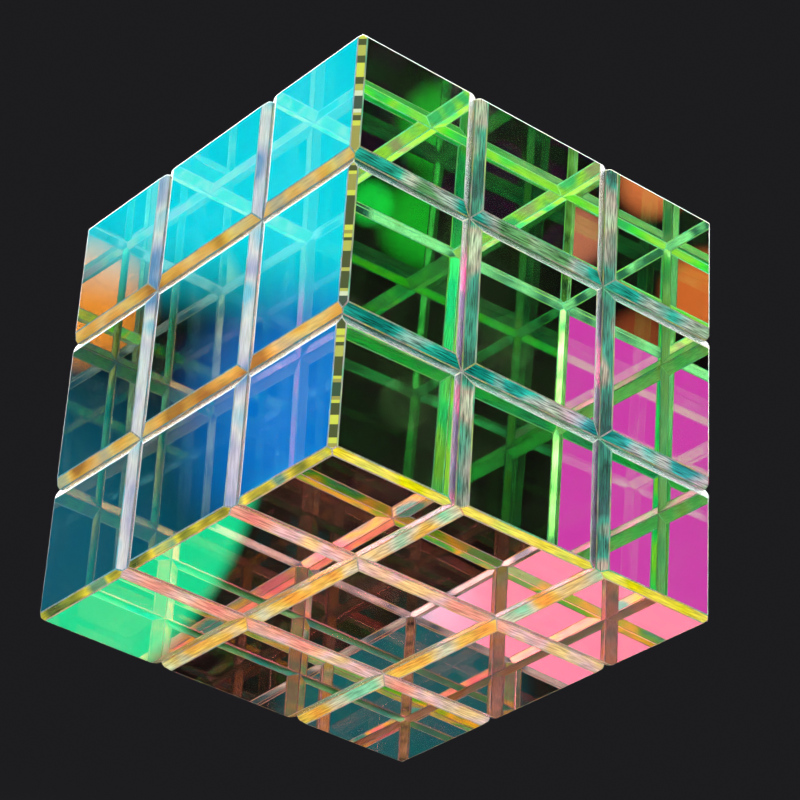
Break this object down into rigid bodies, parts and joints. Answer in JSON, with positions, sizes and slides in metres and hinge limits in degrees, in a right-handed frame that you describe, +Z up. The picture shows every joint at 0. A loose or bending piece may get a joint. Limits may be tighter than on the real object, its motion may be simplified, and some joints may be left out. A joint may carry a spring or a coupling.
{
  "type": "twisting cube puzzle",
  "caption": "Clear turning cube puzzle with mirror-coated faces, grooves between its layers and top and bottom layers that turn on a ball core.",
  "frame": {"origin": "middle of the bottom face, on the surface the cube stands on", "axes": "+Z up through the cube and along the turning axis of the top and bottom layers, +X out of the right face, +Y out of the back face"},
  "size_m": [0.057, 0.057, 0.057],
  "materials": {
    "mirror_glass": "polished clear glass, outer faces with a thin dichroic mirror coat that turns from cyan to green, magenta and orange",
    "clear_glass": "polished clear glass, uncoated",
    "clear_plastic": "clear glossy plastic",
    "clear_silicone": "clear soft silicone, slightly milky"
  },
  "bodies": {
    "middle_layer": {"ball_core": "clear_glass", "edge_back_right": "mirror_glass", "edge_back_left": "mirror_glass", "edge_front_left": "mirror_glass", "edge_front_right": "mirror_glass", "centre_back": "mirror_glass", "centre_left": "mirror_glass", "centre_front": "mirror_glass", "centre_right": "mirror_glass", "cap_back": "mirror_glass", "cap_left": "mirror_glass", "cap_front": "mirror_glass", "cap_right": "mirror_glass", "axle_screw_top": "clear_plastic", "axle_screw_bottom": "clear_plastic", "axle_screw_right": "clear_plastic", "axle_screw_back": "clear_plastic", "axle_screw_left": "clear_plastic", "axle_screw_front": "clear_plastic", "spring_sleeve_top": "clear_silicone", "spring_sleeve_bottom": "clear_silicone", "spring_sleeve_right": "clear_silicone", "spring_sleeve_back": "clear_silicone", "spring_sleeve_left": "clear_silicone", "spring_sleeve_front": "clear_silicone", "washer_top": "clear_plastic", "washer_bottom": "clear_plastic", "washer_right": "clear_plastic", "washer_back": "clear_plastic", "washer_left": "clear_plastic", "washer_front": "clear_plastic"},
    "top_layer": {"corner_top_back_right": "mirror_glass", "corner_top_back_left": "mirror_glass", "corner_top_front_left": "mirror_glass", "corner_top_front_right": "mirror_glass", "edge_top_back": "mirror_glass", "edge_top_left": "mirror_glass", "edge_top_front": "mirror_glass", "edge_top_right": "mirror_glass", "centre_top": "mirror_glass", "cap_top": "mirror_glass"},
    "bottom_layer": {"corner_bottom_back_right": "mirror_glass", "corner_bottom_back_left": "mirror_glass", "corner_bottom_front_left": "mirror_glass", "corner_bottom_front_right": "mirror_glass", "edge_bottom_back": "mirror_glass", "edge_bottom_left": "mirror_glass", "edge_bottom_front": "mirror_glass", "edge_bottom_right": "mirror_glass", "centre_bottom": "mirror_glass", "cap_bottom": "mirror_glass"}
  },
  "joints": [
    {"name": "top_turn", "type": "hinge", "parent": "middle_layer", "child": "top_layer", "pos_m": [0, 0, 0.0285], "axis": [0, 0, 1], "continuous": true},
    {"name": "bottom_turn", "type": "hinge", "parent": "middle_layer", "child": "bottom_layer", "pos_m": [0, 0, 0.0285], "axis": [0, 0, -1], "continuous": true}
  ]
}
